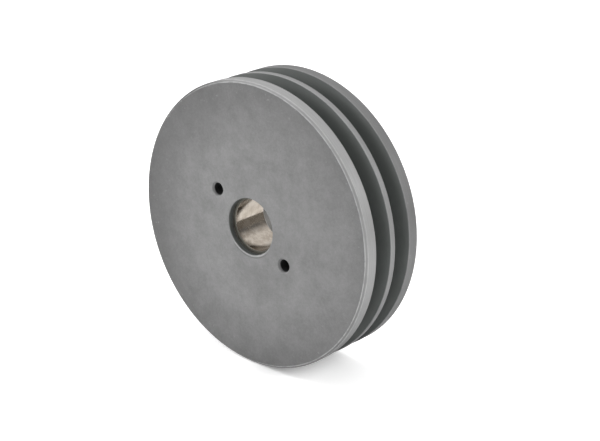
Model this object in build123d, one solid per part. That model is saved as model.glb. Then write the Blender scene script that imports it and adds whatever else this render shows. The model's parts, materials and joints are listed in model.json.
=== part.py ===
"""Two-groove V-belt pulley that turns freely on an inner sleeve.

Millimetres, +Z up.  The origin is the middle of the pulley's width, on its axis.
The axis is Y: the flat front face looks to -Y and the rear face to +Y.
"""
from build123d import *
from math import cos, radians, sin, tan
import os

# ---- rim and belt grooves ----
RIM_RADIUS = 82.0
WIDTH = 44.0
GROOVE_COUNT = 2
GROOVE_PITCH = 15.88
GROOVE_OPENING = 12.5
GROOVE_DEPTH = 12.5
GROOVE_ANGLE = 38.0
RIM_CHAMFER = 1.2

# ---- turned recess in the rear, with a machined hub face in its middle ----
RECESS_RADIUS = 60.0
RECESS_DRAFT = 1.5
RECESS_CORNER = 3.0
WEB_THICKNESS = 33.0
HUB_THICKNESS = 36.5
HUB_RADIUS = 32.0

# ---- two tapped holes in the front face ----
TAPPED_HOLE_CIRCLE = 59.0
TAPPED_HOLE_COUNT = 2
TAPPED_HOLE_ANGLE = -34.0
TAP_DRILL_RADIUS = 3.4
TAP_DRILL_DEPTH = 22.0
DRILL_POINT_ANGLE = 118.0
COUNTERSINK_RADIUS = 4.35

# ---- bearing seat ----
LIP_THICKNESS = 3.2
LIP_RADIUS = 16.2
LIP_EDGE = 0.45
SEAT_RADIUS = 21.0
SEAT_EDGE = 0.5

# ---- inner sleeve, which stands still on the shaft ----
SLEEVE_BORE_RADIUS = 15.0
SLEEVE_RADIUS = 18.0
SLEEVE_LENGTH = 22.8
SLEEVE_BORE_CHAMFER = 0.35
SLEEVE_OUTER_CHAMFER = 0.5
END_PLAY = 0.15

# ---- bearing bushes and the oil felt between them ----
BUSH_LENGTH = 8.5
BUSH_CHAMFER = 0.5
RUNNING_CLEARANCE = 0.03
FELT_BORE_RADIUS = 18.3

# ---- thrust washers ----
WASHER_BORE_RADIUS = 16.5
WASHER_RADIUS = 20.9
FRONT_WASHER_THICKNESS = 1.0
REAR_WASHER_THICKNESS = 1.5

# ---- retaining ring for a 42 mm bore, and its groove ----
RING_GROOVE_RADIUS = 22.25
RING_GROOVE_WIDTH = 1.85
RING_THICKNESS = 1.75
RING_RADIUS = 22.2
RING_INNER_RADIUS = 18.6
RING_OFFSET = 0.4
RING_GAP_ANGLE = 26.0
RING_LUG_RADIUS = 2.8
RING_LUG_CIRCLE = 18.75
RING_LUG_HOLE_RADIUS = 1.25
RING_TURN = 90.0

# ---- places along the axis, worked out from the front face backwards ----
FRONT = -WIDTH / 2
REAR = WIDTH / 2
WEB_REAR = FRONT + WEB_THICKNESS
HUB_REAR = FRONT + HUB_THICKNESS
SEAT_FRONT = FRONT + LIP_THICKNESS
FRONT_WASHER_REAR = SEAT_FRONT + FRONT_WASHER_THICKNESS
SLEEVE_FRONT = FRONT_WASHER_REAR + END_PLAY
SLEEVE_REAR = SLEEVE_FRONT + SLEEVE_LENGTH
REAR_WASHER_FRONT = SLEEVE_REAR + END_PLAY
RING_GROOVE_FRONT = REAR_WASHER_FRONT + REAR_WASHER_THICKNESS
RING_GROOVE_REAR = RING_GROOVE_FRONT + RING_GROOVE_WIDTH
FRONT_BUSH_REAR = FRONT_WASHER_REAR + BUSH_LENGTH
REAR_BUSH_FRONT = REAR_WASHER_FRONT - BUSH_LENGTH


def turned(outline):
    """Solid of revolution about Y from (radius, y) points."""
    with BuildPart() as body:
        with BuildSketch(Plane.XY):
            with BuildLine():
                Polyline(*outline, close=True)
            make_face()
        revolve(axis=Axis.Y)
    return body.part


def tube(bore, radius, front, rear, bore_chamfer=0.0, outer_chamfer=0.0):
    """Plain ring about Y, with optional 45 degree chamfers on its four edges."""
    outline = [
        (bore + bore_chamfer, front),
        (radius - outer_chamfer, front),
        (radius, front + outer_chamfer),
        (radius, rear - outer_chamfer),
        (radius - outer_chamfer, rear),
        (bore + bore_chamfer, rear),
        (bore, rear - bore_chamfer),
        (bore, front + bore_chamfer),
    ]
    corners = [point for i, point in enumerate(outline) if point != outline[i - 1]]
    return turned(corners)


def rim_outline():
    """Outside of the sheave from front to rear: chamfer, V grooves between lands, chamfer."""
    half_opening = GROOVE_OPENING / 2
    half_root = half_opening - GROOVE_DEPTH * tan(radians(GROOVE_ANGLE / 2))
    root = RIM_RADIUS - GROOVE_DEPTH
    points = [(RIM_RADIUS - RIM_CHAMFER, FRONT), (RIM_RADIUS, FRONT + RIM_CHAMFER)]
    for i in range(GROOVE_COUNT):
        centre = (i - (GROOVE_COUNT - 1) / 2) * GROOVE_PITCH
        points += [
            (RIM_RADIUS, centre - half_opening),
            (root, centre - half_root),
            (root, centre + half_root),
            (RIM_RADIUS, centre + half_opening),
        ]
    points += [(RIM_RADIUS, REAR - RIM_CHAMFER), (RIM_RADIUS - RIM_CHAMFER, REAR)]
    return points


def rear_and_bore_outline():
    """Rear recess and hub face, then the bearing seat and the front lip, from rear to front."""
    return [
        (RECESS_RADIUS + RECESS_DRAFT, REAR),
        (RECESS_RADIUS, WEB_REAR + RECESS_CORNER),
        (RECESS_RADIUS - RECESS_CORNER, WEB_REAR),
        (HUB_RADIUS + HUB_THICKNESS - WEB_THICKNESS, WEB_REAR),
        (HUB_RADIUS, HUB_REAR),
        (SEAT_RADIUS + SEAT_EDGE, HUB_REAR),
        (SEAT_RADIUS, HUB_REAR - SEAT_EDGE),
        (SEAT_RADIUS, RING_GROOVE_REAR),
        (RING_GROOVE_RADIUS, RING_GROOVE_REAR),
        (RING_GROOVE_RADIUS, RING_GROOVE_FRONT),
        (SEAT_RADIUS, RING_GROOVE_FRONT),
        (SEAT_RADIUS, SEAT_FRONT),
        (LIP_RADIUS, SEAT_FRONT),
        (LIP_RADIUS, FRONT + LIP_EDGE),
        (LIP_RADIUS + LIP_EDGE, FRONT),
    ]


def tapped_hole_cutter():
    """Blind hole along +Y from the front face, countersunk, with a drill point."""
    countersink = COUNTERSINK_RADIUS - TAP_DRILL_RADIUS
    point = TAP_DRILL_RADIUS / tan(radians(DRILL_POINT_ANGLE / 2))
    return turned([
        (0, FRONT - 1),
        (COUNTERSINK_RADIUS + 1, FRONT - 1),
        (TAP_DRILL_RADIUS, FRONT + countersink),
        (TAP_DRILL_RADIUS, FRONT + TAP_DRILL_DEPTH),
        (0, FRONT + TAP_DRILL_DEPTH + point),
    ])


def make_sheave_body():
    sheave = turned(rim_outline() + rear_and_bore_outline())
    cutter = tapped_hole_cutter()
    for i in range(TAPPED_HOLE_COUNT):
        angle = radians(TAPPED_HOLE_ANGLE + i * 360 / TAPPED_HOLE_COUNT)
        x = TAPPED_HOLE_CIRCLE / 2 * cos(angle)
        z = TAPPED_HOLE_CIRCLE / 2 * sin(angle)
        sheave -= Pos(x, 0, z) * cutter
    return sheave


def make_bush(front, rear):
    bore = SLEEVE_RADIUS + RUNNING_CLEARANCE
    return tube(bore, SEAT_RADIUS, front, rear, BUSH_CHAMFER, BUSH_CHAMFER)


def make_retaining_ring():
    """Internal spring ring: widest opposite its gap, with an eared lug on each side of it."""
    half_gap = RING_GAP_ANGLE / 2
    reach = RING_RADIUS + 1
    gap = Polygon(
        (0, 0),
        (reach * cos(radians(-half_gap)), reach * sin(radians(-half_gap))),
        (reach * 2, 0),
        (reach * cos(radians(half_gap)), reach * sin(radians(half_gap))),
        align=None,
    )
    ring = Circle(RING_RADIUS) - Pos(RING_OFFSET, 0) * Circle(RING_INNER_RADIUS) - gap
    for side in (-1, 1):
        angle = side * (half_gap + 5)
        lug_place = Rot(0, 0, angle) * Pos(RING_LUG_CIRCLE, 0)
        ring += lug_place * Circle(RING_LUG_RADIUS)
        ring -= lug_place * Circle(RING_LUG_HOLE_RADIUS)
    flat = extrude(Rot(0, 0, RING_TURN) * ring, RING_THICKNESS)
    return Pos(0, RING_GROOVE_FRONT + RING_THICKNESS, 0) * Rot(90, 0, 0) * flat


nodes = {
    "sheave_body": make_sheave_body(),
    "inner_sleeve": tube(
        SLEEVE_BORE_RADIUS, SLEEVE_RADIUS, SLEEVE_FRONT, SLEEVE_REAR,
        SLEEVE_BORE_CHAMFER, SLEEVE_OUTER_CHAMFER,
    ),
    "front_bush": make_bush(FRONT_WASHER_REAR, FRONT_BUSH_REAR),
    "rear_bush": make_bush(REAR_BUSH_FRONT, REAR_WASHER_FRONT),
    "oil_felt": tube(FELT_BORE_RADIUS, SEAT_RADIUS, FRONT_BUSH_REAR, REAR_BUSH_FRONT),
    "front_thrust_washer": tube(WASHER_BORE_RADIUS, WASHER_RADIUS, SEAT_FRONT, FRONT_WASHER_REAR),
    "rear_thrust_washer": tube(
        WASHER_BORE_RADIUS, WASHER_RADIUS, REAR_WASHER_FRONT, RING_GROOVE_FRONT,
    ),
    "retaining_ring": make_retaining_ring(),
}

os.makedirs("parts", exist_ok=True)
for name, solid in nodes.items():
    export_step(solid, f"parts/{name}.step")
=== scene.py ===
import json
from math import acos, cos, floor, pi, radians, sin, sqrt, tan

import bmesh
import bpy
from mathutils import Matrix, Vector


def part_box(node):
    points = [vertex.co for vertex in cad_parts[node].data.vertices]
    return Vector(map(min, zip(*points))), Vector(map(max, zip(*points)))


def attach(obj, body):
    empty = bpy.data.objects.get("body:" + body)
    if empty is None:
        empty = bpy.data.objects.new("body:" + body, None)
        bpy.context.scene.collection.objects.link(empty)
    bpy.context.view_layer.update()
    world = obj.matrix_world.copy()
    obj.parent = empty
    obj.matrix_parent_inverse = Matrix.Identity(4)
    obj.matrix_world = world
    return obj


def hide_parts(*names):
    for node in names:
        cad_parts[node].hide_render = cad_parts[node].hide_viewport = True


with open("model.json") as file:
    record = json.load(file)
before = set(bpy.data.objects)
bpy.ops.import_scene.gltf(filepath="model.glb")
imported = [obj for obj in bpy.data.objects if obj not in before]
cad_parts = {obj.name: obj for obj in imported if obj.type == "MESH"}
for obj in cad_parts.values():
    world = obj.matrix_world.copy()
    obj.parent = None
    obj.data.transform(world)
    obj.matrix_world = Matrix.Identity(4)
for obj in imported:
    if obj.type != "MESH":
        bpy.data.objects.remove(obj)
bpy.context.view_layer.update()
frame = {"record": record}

# ---------------------------------------------------------------- sizes, in metres
MM = 0.001
mounts = {m["name"]: m["dims"] for m in frame["record"]["mounts"]}
hole_pattern = mounts["face_tapped_holes"]
sheave_low, sheave_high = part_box("sheave_body")
ring_low, ring_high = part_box("retaining_ring")

RIM_RADIUS = round(sheave_high.z / MM) * MM
FRONT = sheave_low.y
REAR = sheave_high.y
GROOVE_PITCH = 15.88 * MM
GROOVE_OPENING = 12.5 * MM
GROOVE_DEPTH = 12.5 * MM
GROOVE_SLOPE = tan(radians(19))
RIM_CHAMFER = 1.2 * MM
LIP_RADIUS = 16.2 * MM
LIP_EDGE = 0.45 * MM
SEAT_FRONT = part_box("front_thrust_washer")[0].y
SEAT_RADIUS = 21.0 * MM
SEAT_EDGE = 0.5 * MM
RECESS_RADIUS = 60 * MM
RECESS_DRAFT = 1.5 * MM
RECESS_CORNER = 3 * MM
WEB_REAR = FRONT + 33 * MM
HUB_REAR = FRONT + 36.5 * MM
HUB_RADIUS = 32 * MM
RING_GROOVE_RADIUS = 22.25 * MM
RING_GROOVE_WIDTH = 1.85 * MM
BORE_RADIUS = mounts["shaft_bore"]["r_mm"] * MM
BUSH_BORE = 18.03 * MM
FELT_BORE = 18.3 * MM
WASHER_BORE = 16.5 * MM
HOLE_CIRCLE_RADIUS = hole_pattern["pcd_mm"] / 2 * MM
TAP_DRILL_RADIUS = hole_pattern["hole_r_mm"] * MM
HOLE_COUNT = hole_pattern["count"]
HOLE_ANGLE = radians(-34)
THREAD_RADIUS = 4.0 * MM
COUNTERSINK_RADIUS = 4.35 * MM
THREAD_PITCH = 1.25 * MM
THREAD_DEPTH = 18 * MM
HOLE_DEPTH = 22 * MM
DRILL_POINT = TAP_DRILL_RADIUS / tan(radians(59))
RING_RADIUS = 22.2 * MM
RING_INNER_RADIUS = 18.6 * MM
RING_OFFSET = 0.4 * MM
RING_HALF_GAP = radians(13)
LUG_ANGLE = radians(18)
LUG_CIRCLE = 18.75 * MM
LUG_RADIUS = 2.8 * MM
LUG_HOLE_RADIUS = 1.25 * MM
FINE_TURNS = 512


# ---------------------------------------------------------------- mesh tools
def rounded(corners, steps=4):
    """Closed outline of (radius, y) points from (radius, y, fillet) corners."""
    points = []
    for i, (r, y, fillet) in enumerate(corners):
        here = Vector((r, y))
        before = (Vector(corners[i - 1][:2]) - here).normalized()
        after = (Vector(corners[(i + 1) % len(corners)][:2]) - here).normalized()
        half = acos(max(-1, min(1, before.dot(after)))) / 2
        if fillet == 0 or half > pi / 2 - 0.01:
            points.append((r, y))
            continue
        centre = here + (before + after).normalized() * fillet / sin(half)
        start = here + before * fillet / tan(half) - centre
        end = here + after * fillet / tan(half) - centre
        sweep = pi - 2 * half
        for k in range(steps + 1):
            t = k / steps
            spoke = (start * sin((1 - t) * sweep) + end * sin(t * sweep)) / sin(sweep)
            points.append((centre.x + spoke.x, centre.y + spoke.y))
    return points


def held(points, margin=0.5 * MM):
    """Adds a point near both ends of each long run, so that smooth shading stays flat on it."""
    out = []
    for i, (r, y) in enumerate(points):
        out.append((r, y))
        next_r, next_y = points[(i + 1) % len(points)]
        run = sqrt((next_r - r) ** 2 + (next_y - y) ** 2)
        if run > 4 * margin:
            for t in (margin / run, 1 - margin / run):
                out.append((r + (next_r - r) * t, y + (next_y - y) * t))
    return out


def add_mesh(name, verts, faces):
    """New object in the scene with this mesh."""
    mesh = bpy.data.meshes.new(name)
    mesh.from_pydata(verts, [], faces)
    piece = bpy.data.objects.new(name, mesh)
    bpy.context.scene.collection.objects.link(piece)
    return piece


def lathe(name, corners, turns):
    """Ring about Y whose section is the rounded outline."""
    section = held(rounded(corners))
    count = len(section)
    verts = []
    for i in range(turns):
        angle = 2 * pi * i / turns
        verts += [(r * cos(angle), y, r * sin(angle)) for r, y in section]
    faces = []
    for i in range(turns):
        here, there = i * count, (i + 1) % turns * count
        for k in range(count):
            m = (k + 1) % count
            faces.append((here + k, here + m, there + m, there + k))
    return add_mesh(name, verts, faces)


def apply_modifiers(piece):
    """Bakes every modifier into the piece's mesh."""
    graph = bpy.context.evaluated_depsgraph_get()
    mesh = bpy.data.meshes.new_from_object(piece.evaluated_get(graph))
    piece.modifiers.clear()
    piece.data = mesh
    mesh.name = piece.name


def face_outwards(mesh):
    """Turns every face of a closed mesh outwards."""
    bm = bmesh.new()
    bm.from_mesh(mesh)
    bmesh.ops.recalc_face_normals(bm, faces=bm.faces)
    bm.to_mesh(mesh)
    bm.free()


def shade(piece, angle=30):
    """Outward faces, smooth shading between faces that meet at less than the angle."""
    face_outwards(piece.data)
    piece.data.shade_smooth()
    piece.data.set_sharp_from_angle(angle=radians(angle))
    weighted = piece.modifiers.new("weighted", "WEIGHTED_NORMAL")
    weighted.keep_sharp = True
    apply_modifiers(piece)


def thread_radius(depth, angle):
    """Wall of a tapped hole at a depth below the face: countersink, then a V thread."""
    countersink = COUNTERSINK_RADIUS - depth
    if depth > THREAD_DEPTH:
        return TAP_DRILL_RADIUS
    fade = min(1, (THREAD_DEPTH - depth) / THREAD_PITCH)
    turn = depth / THREAD_PITCH - angle / (2 * pi)
    phase = abs(2 * (turn - floor(turn)) - 1)
    height = min(1, max(0, (phase - 0.25) / 0.625)) * fade
    thread = TAP_DRILL_RADIUS + (THREAD_RADIUS - TAP_DRILL_RADIUS) * height
    return max(countersink, thread)


def hole_cutter(x, z, around=64, per_pitch=10):
    """Closed solid with the shape of one threaded hole, from just outside the face to its drill point."""
    above = 0.5 * MM
    step = THREAD_PITCH / per_pitch
    depths = [-above + i * step for i in range(int((THREAD_DEPTH + above) / step) + 1)]
    depths.append(HOLE_DEPTH)
    verts = []
    for depth in depths:
        for i in range(around):
            angle = 2 * pi * i / around
            r = thread_radius(depth, angle)
            verts.append((x + r * cos(angle), FRONT + depth, z + r * sin(angle)))
    verts.append((x, FRONT + HOLE_DEPTH + DRILL_POINT, z))
    faces = [tuple(range(around))]
    for k in range(len(depths) - 1):
        for i in range(around):
            j = (i + 1) % around
            faces.append((k * around + i, (k + 1) * around + i, (k + 1) * around + j, k * around + j))
    last = (len(depths) - 1) * around
    faces += [(last + i, len(verts) - 1, last + (i + 1) % around) for i in range(around)]
    return add_mesh("hole_cutter", verts, faces)


def cut(piece, cutter):
    """Takes the cutter out of the piece and throws the cutter away."""
    face_outwards(cutter.data)
    difference = piece.modifiers.new("cut", "BOOLEAN")
    difference.operation = "DIFFERENCE"
    difference.solver = "EXACT"
    difference.object = cutter
    apply_modifiers(piece)
    bpy.data.objects.remove(cutter)


# ---------------------------------------------------------------- the sheave
def groove_corners(centre):
    """The four corners of one V groove, front to rear."""
    half_opening = GROOVE_OPENING / 2
    half_root = half_opening - GROOVE_DEPTH * GROOVE_SLOPE
    root = RIM_RADIUS - GROOVE_DEPTH
    return [
        (RIM_RADIUS, centre - half_opening, 0.25 * MM),
        (root, centre - half_root, 0.8 * MM),
        (root, centre + half_root, 0.8 * MM),
        (RIM_RADIUS, centre + half_opening, 0.25 * MM),
    ]


def make_sheave():
    """Turned body: lip, face, rim with its V grooves, rear recess, hub and bearing seat, then the holes."""
    ring_groove_front = ring_low.y
    ring_groove_rear = ring_groove_front + RING_GROOVE_WIDTH
    corners = [
        (LIP_RADIUS, SEAT_FRONT, 0.05 * MM),
        (LIP_RADIUS, FRONT + LIP_EDGE, 0.2 * MM),
        (LIP_RADIUS + LIP_EDGE, FRONT, 0.15 * MM),
        (RIM_RADIUS - RIM_CHAMFER, FRONT, 0.3 * MM),
        (RIM_RADIUS, FRONT + RIM_CHAMFER, 0.3 * MM),
        *groove_corners(-GROOVE_PITCH / 2),
        *groove_corners(GROOVE_PITCH / 2),
        (RIM_RADIUS, REAR - RIM_CHAMFER, 0.3 * MM),
        (RIM_RADIUS - RIM_CHAMFER, REAR, 0.3 * MM),
        (RECESS_RADIUS + RECESS_DRAFT, REAR, 0.4 * MM),
        (RECESS_RADIUS, WEB_REAR + RECESS_CORNER, RECESS_CORNER),
        (RECESS_RADIUS - RECESS_CORNER, WEB_REAR, RECESS_CORNER),
        (HUB_RADIUS + HUB_REAR - WEB_REAR, WEB_REAR, 0.8 * MM),
        (HUB_RADIUS, HUB_REAR, 0.2 * MM),
        (SEAT_RADIUS + SEAT_EDGE, HUB_REAR, 0.15 * MM),
        (SEAT_RADIUS, HUB_REAR - SEAT_EDGE, 0.15 * MM),
        (SEAT_RADIUS, ring_groove_rear, 0.03 * MM),
        (RING_GROOVE_RADIUS, ring_groove_rear, 0.1 * MM),
        (RING_GROOVE_RADIUS, ring_groove_front, 0.1 * MM),
        (SEAT_RADIUS, ring_groove_front, 0.03 * MM),
        (SEAT_RADIUS, SEAT_FRONT, 0.1 * MM),
    ]
    sheave = lathe("sheave", corners, FINE_TURNS)
    for x, z in hole_places():
        cut(sheave, hole_cutter(x, z))
    shade(sheave)
    return sheave


# ---------------------------------------------------------------- sleeve, bushes, felt and washers
def ring_corners(low, high, bore, radius, bore_chamfer, outer_chamfer, fillet):
    """Section of a plain ring between two Y places, chamfered inside and outside."""
    return [
        (bore + bore_chamfer, low, fillet),
        (radius - outer_chamfer, low, fillet),
        (radius, low + outer_chamfer, fillet),
        (radius, high - outer_chamfer, fillet),
        (radius - outer_chamfer, high, fillet),
        (bore + bore_chamfer, high, fillet),
        (bore, high - bore_chamfer, fillet),
        (bore, low + bore_chamfer, fillet),
    ]


def make_ring(name, node, bore, bore_chamfer, outer_chamfer, fillet, turns=256):
    """Plain ring that fills the box of its CAD node."""
    low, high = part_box(node)
    corners = ring_corners(low.y, high.y, bore, high.x, bore_chamfer, outer_chamfer, fillet)
    piece = lathe(name, corners, turns)
    shade(piece)
    return piece


# ---------------------------------------------------------------- the retaining ring
def ring_outline(steps=240):
    """Outline of the eared spring ring as (x, z) points, its gap at the top."""
    start = LUG_ANGLE - acos(sqrt(1 - (LUG_RADIUS / LUG_CIRCLE) ** 2)) + 0.001
    outside, inside = [], []
    for i in range(steps + 1):
        angle = start + (2 * pi - 2 * start) * i / steps
        away = min(angle, 2 * pi - angle)
        lug_side = (LUG_CIRCLE * sin(away - LUG_ANGLE)) ** 2
        lug_reach = LUG_CIRCLE * cos(away - LUG_ANGLE)
        lug_half = sqrt(max(0, LUG_RADIUS ** 2 - lug_side))
        plain = RING_OFFSET * cos(away) + sqrt(RING_INNER_RADIUS ** 2 - (RING_OFFSET * sin(away)) ** 2)
        outer = RING_RADIUS if away >= RING_HALF_GAP else lug_reach + lug_half
        near = lug_reach - lug_half
        if away >= RING_HALF_GAP:
            near = min(near, plain) if lug_half > 0 else plain
        turned = angle + pi / 2
        outside.append((outer * cos(turned), outer * sin(turned)))
        inside.append((near * cos(turned), near * sin(turned)))
    return outside + inside[::-1]


def lug_hole_outline(side, steps=32):
    """Outline of the plier hole in one ear as (x, z) points; side is -1 or 1."""
    turned = pi / 2 + side * LUG_ANGLE
    x, z = LUG_CIRCLE * cos(turned), LUG_CIRCLE * sin(turned)
    angles = [2 * pi * i / steps for i in range(steps)]
    return [(x + LUG_HOLE_RADIUS * cos(a), z + LUG_HOLE_RADIUS * sin(a)) for a in angles]


def make_retaining_ring():
    """Flat stamped ring with two ears, slightly rounded edges."""
    bevel = 0.12 * MM
    curve = bpy.data.curves.new("ring_outline", "CURVE")
    curve.dimensions = "2D"
    curve.fill_mode = "BOTH"
    for loop in (ring_outline(), lug_hole_outline(-1), lug_hole_outline(1)):
        spline = curve.splines.new("POLY")
        spline.points.add(len(loop) - 1)
        for point, (x, z) in zip(spline.points, loop):
            point.co = (x, z, 0, 1)
        spline.use_cyclic_u = True
    thickness = ring_high.y - ring_low.y
    curve.extrude = thickness / 2 - bevel
    curve.bevel_depth = bevel
    curve.bevel_resolution = 2
    curve.offset = -bevel
    solid = bpy.data.objects.new("ring_curve", curve)
    bpy.context.scene.collection.objects.link(solid)
    graph = bpy.context.evaluated_depsgraph_get()
    mesh = bpy.data.meshes.new_from_object(solid.evaluated_get(graph))
    bpy.data.objects.remove(solid)
    middle = Matrix.Translation((0, (ring_low.y + ring_high.y) / 2, 0))
    mesh.transform(middle @ Matrix.Rotation(pi / 2, 4, "X"))
    piece = bpy.data.objects.new("retaining_ring_piece", mesh)
    bpy.context.scene.collection.objects.link(piece)
    weld = piece.modifiers.new("weld", "WELD")
    weld.merge_threshold = 0.001 * MM
    apply_modifiers(piece)
    shade(piece)
    return piece


# ---------------------------------------------------------------- material tools
class Nodes:
    """Short way to build a material: each call adds nodes, links them and gives their output."""

    def __init__(self, name):
        self.material = bpy.data.materials.new(name)
        self.material.use_nodes = True
        self.tree = self.material.node_tree
        self.shader = self.tree.nodes["Principled BSDF"]
        self.place = self.add("ShaderNodeTexCoord").outputs["Object"]
        self.x, self.along, self.z = self.add("ShaderNodeSeparateXYZ", Vector=self.place).outputs
        self.radius = self.distance(self.x, self.z, 0, 0)

    def add(self, kind, settings=None, **inputs):
        """Adds one node; an input's underscores stand for spaces."""
        node = self.tree.nodes.new(kind)
        for key, value in (settings or {}).items():
            setattr(node, key, value)
        for key, value in inputs.items():
            self.put(node, key.replace("_", " "), value)
        return node

    def put(self, node, key, value):
        """Links a socket, or sets a number or a colour, to the input with this name or number."""
        if isinstance(value, bpy.types.NodeSocket):
            self.tree.links.new(value, node.inputs[key])
        else:
            node.inputs[key].default_value = value

    def set(self, key, value):
        """Sets an input of the material's own shader."""
        self.put(self.shader, key, value)

    def math(self, operation, a, b=0.0):
        node = self.add("ShaderNodeMath", {"operation": operation})
        self.put(node, 0, a)
        self.put(node, 1, b)
        return node.outputs[0]

    def product(self, first, *factors):
        for factor in factors:
            first = self.math("MULTIPLY", first, factor)
        return first

    def noise(self, scale, detail, roughness, vector=None):
        vector = self.place if vector is None else vector
        node = self.add("ShaderNodeTexNoise", Scale=scale, Detail=detail, Roughness=roughness, Vector=vector)
        return node.outputs["Fac"]

    def mottle(self, scale, detail, roughness):
        """Noise spread out to run from -1 to 1."""
        return self.range(self.noise(scale, detail, roughness), 0.3, 0.7, -1, 1)

    def lines(self, value, frequency, detail):
        """Noise that changes with one value only: turned lines along it."""
        vector = self.add("ShaderNodeCombineXYZ", X=self.math("MULTIPLY", value, frequency)).outputs[0]
        return self.noise(1.0, detail, 0.6, vector)

    def range(self, value, low, high, to_low=0.0, to_high=1.0):
        """Smooth step from to_low, where the value is low or less, to to_high."""
        node = self.add("ShaderNodeMapRange", {"interpolation_type": "SMOOTHSTEP"})
        for key, number in zip(("Value", "From Min", "From Max", "To Min", "To Max"),
                               (value, low, high, to_low, to_high)):
            self.put(node, key, number)
        return node.outputs["Result"]

    def mix(self, factor, a, b):
        """Colour a where the factor is 0, b where it is 1."""
        node = self.add("ShaderNodeMix", {"data_type": "RGBA"})
        for index, value in ((0, factor), (6, a), (7, b)):
            self.put(node, index, value)
        return node.outputs[2]

    def mix_value(self, factor, a, b):
        node = self.add("ShaderNodeMix", {"data_type": "FLOAT"})
        for index, value in ((0, factor), (2, a), (3, b)):
            self.put(node, index, value)
        return node.outputs[0]

    def bump(self, height, strength, distance, normal=None):
        """Bumps the surface, on top of an earlier bump if one is given."""
        node = self.add("ShaderNodeBump", Strength=strength, Distance=distance, Height=height)
        if normal is not None:
            self.put(node, "Normal", normal)
        return node.outputs["Normal"]

    def distance(self, a, b, to_a, to_b):
        """Distance of the point (a, b) from a fixed point."""
        across, down = self.math("SUBTRACT", a, to_a), self.math("SUBTRACT", b, to_b)
        return self.math("SQRT", self.math("ADD", self.product(across, across), self.product(down, down)))

    def near(self, a, b, places, reach):
        """1 where the point (a, b) is at one of these places, falling to 0 at reach from them."""
        nearest = self.distance(a, b, *places[0])
        for place in places[1:]:
            nearest = self.math("MINIMUM", nearest, self.distance(a, b, *place))
        return self.range(nearest, 0.0, reach, 1.0, 0.0)


def grey(value):
    return (value, value, value, 1)


def corner_edges():
    """(radius, y) places of the rim's turned corners, which handling rubs bright and where a highlight is
    painted.
    """
    return [(RIM_RADIUS - RIM_CHAMFER, FRONT), (RIM_RADIUS, FRONT + RIM_CHAMFER),
            (RIM_RADIUS, REAR - RIM_CHAMFER), (RIM_RADIUS - RIM_CHAMFER, REAR)]


def groove_edges():
    """(radius, y) places where the lands meet the groove walls."""
    return [(RIM_RADIUS, side * GROOVE_PITCH / 2 + edge * GROOVE_OPENING / 2)
            for side in (-1, 1) for edge in (-1, 1)]


def hole_places():
    """(x, z) of each tapped hole."""
    angles = [HOLE_ANGLE + i * 2 * pi / HOLE_COUNT for i in range(HOLE_COUNT)]
    return [(HOLE_CIRCLE_RADIUS * cos(a), HOLE_CIRCLE_RADIUS * sin(a)) for a in angles]


def face_tone(n, clouds, grain):
    """Brightness of the flat face: it darkens towards the rim, with blotches and fine mottling, and painted
    light and shade across it and in three broad patches.
    """
    blotches = n.mottle(34, 5, 0.6)
    wavering = n.math("ADD", n.distance(n.x, n.z, 6 * MM, -3 * MM), n.product(blotches, 6 * MM))
    rim_darkening_and_painted_light = n.range(wavering, 40 * MM, 92 * MM, 1.0, 0.66)
    # Painted light and shade across the face: darker at the left edge and right of the centre, lighter at
    # the right edge.
    for low, high, at_low, at_high in ((-10, 28, 1.0, 0.905), (42, 72, 1.0, 1.09), (-82, -48, 0.84, 1.0)):
        rim_darkening_and_painted_light = n.product(rim_darkening_and_painted_light, n.range(n.x, low * MM, high * MM, at_low, at_high))
    # Three broad patches of painted shade and light: darker at the upper left, lighter at the upper right
    # and the lower right.
    for x, z, reach, change in ((-44, 62, 34, 0.90), (32, 66, 42, 1.10), (27, -24, 26, 1.08)):
        from_patch = n.distance(n.x, n.z, x * MM, z * MM)
        rim_darkening_and_painted_light = n.product(rim_darkening_and_painted_light, n.range(from_patch, 4 * MM, reach * MM, change, 1.0))
    tone = n.math("ADD", n.product(blotches, 0.085), n.product(clouds, 0.10))
    tone = n.math("ADD", tone, n.product(n.mottle(700, 3, 0.6), 0.055))
    return n.product(n.math("ADD", tone, 1.0), rim_darkening_and_painted_light, n.range(grain, 0.3, 0.75, 0.94, 1.08))


def rim_tone(n, painted_shade_low_down):
    """Brightness of the lands and chamfers: finely streaked, with painted light at the front and on the
    right, and painted shade at the rear, on the left, low down and on the chamfers.
    """
    round_rim = n.add("ShaderNodeCombineXYZ", X=n.product(n.along, 2500), Y=n.product(n.x, 60),
                      Z=n.product(n.z, 60)).outputs[0]
    streaks = n.range(n.noise(1.0, 3, 0.6, round_rim), 0.3, 0.7, 0.92, 1.08)
    # Painted light and shade: the lands are lighter at the front, and darker at the rear and low down.
    land = n.product(n.range(n.along, FRONT, REAR, 1.48, 0.80), streaks, painted_shade_low_down)
    # Painted shade on the left of the lands.
    land = n.product(land, n.range(n.x, -50 * MM, 5 * MM, 0.5, 1.0))
    # Painted shade on the chamfer, deepest on the left.
    chamfer = n.product(land, n.range(n.x, -60 * MM, 20 * MM, 0.3, 0.8))
    on_chamfer = n.range(n.along, FRONT + 1.0 * MM, FRONT + 1.3 * MM, 1.0, 0.0)
    return n.mix_value(on_chamfer, land, chamfer)


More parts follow.
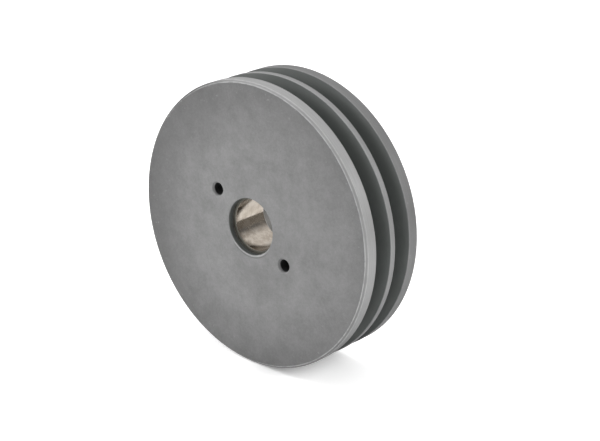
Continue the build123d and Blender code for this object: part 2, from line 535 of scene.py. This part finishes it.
def with_rubbed_edges_and_painted_highlights(n, base):
    """The colour with corners and groove edges rubbed light, painted highlights on the corners and the lower
    lip edge, a dark line low round the lip, and nicks.
    """
    wear = n.range(n.noise(300, 3, 0.6), 0.35, 0.6, 0.4, 1.0)
    # Corners: rubbed light, plus a painted highlight that is brightest on the right.
    corners = n.product(n.near(n.radius, n.along, corner_edges(), 0.55 * MM),
                        n.range(n.x, -70 * MM, 0, 0.2, 0.75))
    grooves = n.product(n.near(n.radius, n.along, groove_edges(), 0.5 * MM), 0.25)
    # Painted highlight on the lower part of the lip's edge.
    lip = n.product(n.near(n.radius, n.along, [(LIP_RADIUS + LIP_EDGE, FRONT)], 0.5 * MM),
                    n.range(n.z, -15 * MM, -7 * MM, 0.7, 0.0))
    edges = n.math("MAXIMUM", n.math("MAXIMUM", corners, grooves), lip)
    base = n.mix(n.product(edges, wear), base, grey(0.52))
    lip_ring = n.product(n.near(n.radius, n.along, [(LIP_RADIUS + 1.5 * MM, FRONT)], 0.4 * MM),
                         n.range(n.z, -17 * MM, -10 * MM, 0.7, 0.0))
    base = n.mix(lip_ring, base, grey(0.08))
    nicks = n.product(n.range(n.noise(420, 2, 0.5), 0.68, 0.75),
                      n.range(n.radius, 55 * MM, 80 * MM, 0.03, 0.2))
    return n.mix(nicks, base, grey(0.45))


def in_grooves_or_lip(n):
    """1 on the walls of the belt grooves and the bore of the lip, which are coloured darker."""
    past_grooves = (GROOVE_PITCH + GROOVE_OPENING) / 2
    in_groove = n.product(n.range(n.radius, RIM_RADIUS - 0.5 * MM, RIM_RADIUS - 0.25 * MM, 1, 0),
                          n.range(n.math("ABSOLUTE", n.along), past_grooves + 0.11 * MM,
                                  past_grooves + 0.41 * MM, 1, 0),
                          n.range(n.radius, 60 * MM, 65 * MM))
    in_lip = n.range(n.radius, LIP_RADIUS + 0.1 * MM, LIP_RADIUS + 0.3 * MM, 1, 0)
    return n.math("MAXIMUM", in_groove, in_lip)


def in_bearing_seat(n):
    """1 behind the lip, on the seat and its ring groove."""
    return n.product(n.range(n.radius, 23.0 * MM, 23.2 * MM, 1, 0),
                     n.range(n.along, FRONT + 3.1 * MM, FRONT + 3.3 * MM))


def in_tapped_holes(n):
    """1 on the walls of the tapped holes, from the countersink down."""
    by_hole = n.math("GREATER_THAN", n.near(n.x, n.z, hole_places(), 5.0 * MM), 0.0)
    end = FRONT + HOLE_DEPTH + 3 * MM
    return n.product(by_hole, n.range(n.along, FRONT + 0.6 * MM, FRONT + 1.6 * MM),
                     n.range(n.along, end, end + 1 * MM, 1.0, 0.0))


def phosphate_material():
    """Grey phosphate on turned iron: darker towards the rim and in the grooves, rubbed on the edges, with
    painted light and shade on the face and the rim, and painted shade in the tapped holes.
    """
    n = Nodes("phosphate")
    clouds = n.mottle(95, 6, 0.62)
    grain = n.noise(2600, 2, 0.6)
    on_rim = n.range(n.radius, RIM_RADIUS - 1.35 * MM, RIM_RADIUS - 1.2 * MM)
    # Painted shade: the rim, grooves and lip are darker low down and a little lighter at the top.
    painted_shade_low_down = n.range(n.z, -62 * MM, 12 * MM, 0.67, 1.08)
    tone = n.mix_value(on_rim, face_tone(n, clouds, grain), rim_tone(n, painted_shade_low_down))
    phosphate = (0.236, 0.236, 0.236)
    base = n.add("ShaderNodeVectorMath", {"operation": "SCALE"}, Vector=phosphate, Scale=tone).outputs[0]
    base = with_rubbed_edges_and_painted_highlights(n, base)
    # Grooves and lip bore: a darker phosphate, with painted shade that turns it near black low down.
    dark_walls_and_painted_shade = n.mix(painted_shade_low_down, (0.02, 0.025, 0.022, 1), (0.128, 0.137, 0.132, 1))
    base = n.mix(in_grooves_or_lip(n), base, dark_walls_and_painted_shade)
    seat = in_bearing_seat(n)
    base = n.mix(seat, base, (0.23, 0.225, 0.215, 1))
    # Painted shade: the tapped holes are near black inside, where little light gets in.
    painted_hole_shade = in_tapped_holes(n)
    n.set("Base Color", n.mix(painted_hole_shade, base, grey(0.012)))
    dull = n.math("MAXIMUM", painted_hole_shade, n.product(on_rim, n.range(n.x, -45 * MM, 0, 1.0, 0.0)))
    n.set("Metallic", n.mix_value(dull, n.math("MAXIMUM", 0.35, n.product(seat, 0.8)), 0.0))
    n.set("Roughness", n.mix_value(dull, n.range(clouds, -1, 1, 0.42, 0.52), 0.9))
    turned_rings = n.math("SINE", n.product(n.radius, 2 * pi / (0.32 * MM)))
    turned = n.bump(turned_rings, 0.05, 0.02 * MM)
    n.set("Normal", n.bump(grain, 0.25, 0.03 * MM, turned))
    return n.material


def sleeve_material():
    """Hardened sleeve: bore honed bright with a pale straw tint and faint stains, ends left dark.

    Light Path makes it darker in its own reflections than it is. That isn't physical: it only sets the
    contrast of the bands in the bore, and an exported model doesn't have it.
    """
    n = Nodes("straw_steel")
    straw, stained, shadowed = (0.63, 0.57, 0.50, 1), (0.36, 0.30, 0.235, 1), (0.03, 0.022, 0.012, 1)
    stains = n.range(n.noise(260, 5, 0.65), 0.36, 0.64)
    base = n.mix(n.product(stains, 0.55), straw, stained)
    base = n.mix(n.range(n.lines(n.along, 1400, 4), 0.35, 0.65, 0.0, 0.22), base, stained)
    ray = n.add("ShaderNodeLightPath").outputs
    first = n.product(ray["Is Glossy Ray"], 0.7)
    later = n.product(n.math("GREATER_THAN", ray["Glossy Depth"], 1.5), 0.55)
    base = n.mix(n.math("SUBTRACT", first, later), base, shadowed)
    honed = n.range(n.radius, BORE_RADIUS + 0.05 * MM, BORE_RADIUS + 0.12 * MM, 1.0, 0.0)
    n.set("Base Color", n.mix(honed, (0.135, 0.13, 0.11, 1), base))
    n.set("Metallic", n.range(honed, 0, 1, 0.3, 1.0))
    n.set("Roughness", n.mix_value(honed, 0.6, n.range(stains, 0, 1, 0.10, 0.17)))
    n.set("Normal", n.bump(n.lines(n.along, 6000, 3), 0.12, 0.01 * MM))
    return n.material


def bronze_material():
    """Sintered bronze: matt, porous and damp with oil."""
    n = Nodes("sintered_bronze")
    pores = n.range(n.noise(3200, 3, 0.7), 0.30, 0.45)
    tone = n.noise(180, 4, 0.6)
    base = n.mix(tone, (0.50, 0.31, 0.15, 1), (0.64, 0.43, 0.23, 1))
    n.set("Base Color", n.mix(pores, (0.12, 0.07, 0.035, 1), base))
    n.set("Metallic", 1.0)
    n.set("Roughness", n.range(tone, 0.3, 0.7, 0.34, 0.5))
    n.set("Normal", n.bump(pores, 0.3, 0.02 * MM))
    return n.material


def felt_material():
    """Wool felt, dark with oil."""
    n = Nodes("oiled_felt")
    fibres = n.noise(2400, 6, 0.75)
    n.set("Base Color", n.mix(fibres, (0.20, 0.14, 0.07, 1), (0.46, 0.36, 0.20, 1)))
    n.set("Roughness", 0.9)
    n.set("Sheen Weight", 0.4)
    n.set("Normal", n.bump(fibres, 0.6, 0.1 * MM))
    return n.material


def ground_steel_material():
    """Flat ground steel washer with fine concentric scratches from running."""
    n = Nodes("ground_steel")
    scratches = n.lines(n.radius, 5000, 3)
    patches = n.noise(260, 4, 0.6)
    n.set("Base Color", n.mix(patches, (0.34, 0.33, 0.31, 1), (0.50, 0.49, 0.47, 1)))
    n.set("Metallic", 1.0)
    n.set("Roughness", n.range(scratches, 0.3, 0.7, 0.28, 0.42))
    n.set("Normal", n.bump(scratches, 0.15, 0.01 * MM))
    return n.material


def black_steel_material():
    """Blackened spring steel with grey patches and a fine grain."""
    n = Nodes("black_spring_steel")
    patches = n.noise(500, 4, 0.65)
    n.set("Base Color", n.mix(patches, (0.025, 0.026, 0.028, 1), (0.075, 0.075, 0.075, 1)))
    n.set("Metallic", 0.8)
    n.set("Roughness", n.range(patches, 0.3, 0.7, 0.32, 0.5))
    n.set("Normal", n.bump(n.noise(3000, 2, 0.5), 0.15, 0.01 * MM))
    return n.material


def floor_material():
    """White studio sweep that glows a little to the camera, to stay white, and least under the pulley, which
    paints part of its contact shadow.
    """
    n = Nodes("white_floor")
    n.set("Base Color", grey(0.9))
    n.set("Roughness", 0.9)
    n.set("Specular IOR Level", 0.1)
    n.set("Emission Color", grey(1.0))
    # Painted shadow: the glow is weakest at the contact and a little to its right.
    beyond = n.math("MAXIMUM", n.math("SUBTRACT", n.math("ABSOLUTE", n.along), 16 * MM), 0.0)
    glow = n.range(n.distance(n.x, beyond, 15 * MM, 0), 0, 28 * MM, 0.12, 0.49)
    seen = n.add("ShaderNodeLightPath").outputs["Is Camera Ray"]
    n.set("Emission Strength", n.product(seen, glow))
    return n.material


def black_card_material():
    """Black card with a faint warm glow."""
    n = Nodes("black_card")
    n.set("Base Color", grey(0.02))
    n.set("Roughness", 0.9)
    n.set("Emission Color", (1.0, 0.93, 0.84, 1))
    n.set("Emission Strength", 0.15)
    return n.material


# ---------------------------------------------------------------- camera, light and floor
CAMERA_PLACE = Vector((6.414, -7.085, 3.542)) * RIM_RADIUS
CAMERA_AIM = Vector((0.1237, 0.0957, -0.0248)) * RIM_RADIUS
LENS = 89.72


def make_camera():
    """Long lens from the front right, a little above."""
    data = bpy.data.cameras.new("camera")
    data.lens = LENS
    data.sensor_width = 36
    data.clip_start = 0.01
    data.clip_end = 20
    camera = bpy.data.objects.new("camera", data)
    camera.location = CAMERA_PLACE
    camera.rotation_euler = (CAMERA_AIM - CAMERA_PLACE).to_track_quat("-Z", "Y").to_euler()
    bpy.context.scene.collection.objects.link(camera)
    bpy.context.scene.camera = camera


def softbox(name, azimuth, elevation, power, distance=1.5, side=0.9):
    """Square light looking at the pulley; azimuth 0 is in front (-Y), 90 to the right (+X)."""
    a, e = radians(azimuth), radians(elevation)
    place = Vector((sin(a) * cos(e), -cos(a) * cos(e), sin(e))) * distance
    data = bpy.data.lights.new(name, "AREA")
    data.shape = "RECTANGLE"
    data.size, data.size_y = side, side
    data.energy = power
    light = bpy.data.objects.new(name, data)
    light.location = place
    light.rotation_euler = (-place).to_track_quat("-Z", "Y").to_euler()
    bpy.context.scene.collection.objects.link(light)


def make_world():
    """White surroundings: pure white to the camera, but as a light brighter above than at the sides."""
    world = bpy.data.worlds.new("studio")
    bpy.context.scene.world = world
    world.use_nodes = True
    nodes, link = world.node_tree.nodes, world.node_tree.links.new
    seen = nodes.new("ShaderNodeBackground")
    lit = nodes["Background"]
    for background in (seen, lit):
        background.inputs["Color"].default_value = (1, 1, 1, 1)
    direction = nodes.new("ShaderNodeTexCoord").outputs["Generated"]
    tilt = nodes.new("ShaderNodeVectorMath")
    tilt.operation = "DOT_PRODUCT"
    tilt.inputs[1].default_value = (-0.15, 0, 1)
    link(direction, tilt.inputs[0])
    glow = nodes.new("ShaderNodeMapRange")
    for key, value in (("From Min", 0.30), ("From Max", 0.66), ("To Min", 0.16), ("To Max", 0.86)):
        glow.inputs[key].default_value = value
    link(tilt.outputs["Value"], glow.inputs["Value"])
    link(glow.outputs["Result"], lit.inputs["Strength"])
    mix = nodes.new("ShaderNodeMixShader")
    link(nodes.new("ShaderNodeLightPath").outputs["Is Camera Ray"], mix.inputs[0])
    link(lit.outputs[0], mix.inputs[1])
    link(seen.outputs[0], mix.inputs[2])
    link(mix.outputs[0], nodes["World Output"].inputs["Surface"])


def make_floor(half=1.6):
    """Level square under the rim."""
    corners = [(-half, -half), (half, -half), (half, half), (-half, half)]
    ground = add_mesh("floor", [(x, y, -RIM_RADIUS) for x, y in corners], [(0, 1, 2, 3)])
    ground.data.materials.append(floor_material())


def make_flag():
    """Low dark card behind on the right, seen only in reflections, and mostly in the bright bore."""
    flag = add_mesh("flag", [(-0.5, 0, 0), (0.5, 0, 0), (0.5, 0, 0.2), (-0.5, 0, 0.2)], [(0, 1, 2, 3)])
    flag.location = (0.30, 0.30, -RIM_RADIUS + 0.001)
    flag.rotation_euler = (0, 0, radians(-45))
    flag.data.materials.append(black_card_material())
    for ray in ("camera", "diffuse", "transmission", "shadow", "volume_scatter"):
        setattr(flag, "visible_" + ray, False)


def make_studio():
    make_world()
    make_floor()
    make_flag()
    softbox("left", -90, 12, power=19)
    softbox("front", 0, 12, power=8)
    softbox("top", -90, 75, power=5)
    softbox("rear_right", 112, 20, power=9)
    bpy.context.scene.view_settings.view_transform = "Standard"


# ---------------------------------------------------------------- putting it together
def dress(piece, material, body, node):
    """Gives a piece its material and the body it rides on, and hides the CAD node it stands for."""
    piece.data.materials.clear()
    piece.data.materials.append(material)
    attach(piece, body)
    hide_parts(node)


def make_sleeve():
    """The liner that stands still on the shaft."""
    bore_chamfer, outer_chamfer, fillet = 0.35 * MM, 0.5 * MM, 0.08 * MM
    piece = make_ring("sleeve_liner", "inner_sleeve", BORE_RADIUS, bore_chamfer, outer_chamfer, fillet,
                      FINE_TURNS)
    dress(piece, sleeve_material(), "sleeve", "inner_sleeve")


def make_stack():
    """The plain rings in the bearing seat, which turn with the sheave."""
    bronze, felt, steel = bronze_material(), felt_material(), ground_steel_material()
    for name, node, bore, chamfer, fillet, material, slot in (
        ("bush_front", "front_bush", BUSH_BORE, 0.5 * MM, 0.1 * MM, bronze, "bush_bronze"),
        ("bush_rear", "rear_bush", BUSH_BORE, 0.5 * MM, 0.1 * MM, bronze, "bush_bronze"),
        ("felt_ring", "oil_felt", FELT_BORE, 0.3 * MM, 0.15 * MM, felt, "felt"),
        ("washer_front", "front_thrust_washer", WASHER_BORE, 0.1 * MM, 0.03 * MM, steel, "washer_steel"),
        ("washer_rear", "rear_thrust_washer", WASHER_BORE, 0.15 * MM, 0.05 * MM, steel, "washer_steel"),
    ):
        piece = make_ring(name, node, bore, chamfer, chamfer, fillet)
        dress(piece, material, "sheave", node)


make_camera()
make_studio()
dress(make_sheave(), phosphate_material(), "sheave", "sheave_body")
make_sleeve()
make_stack()
dress(make_retaining_ring(), black_steel_material(), "sheave", "retaining_ring")
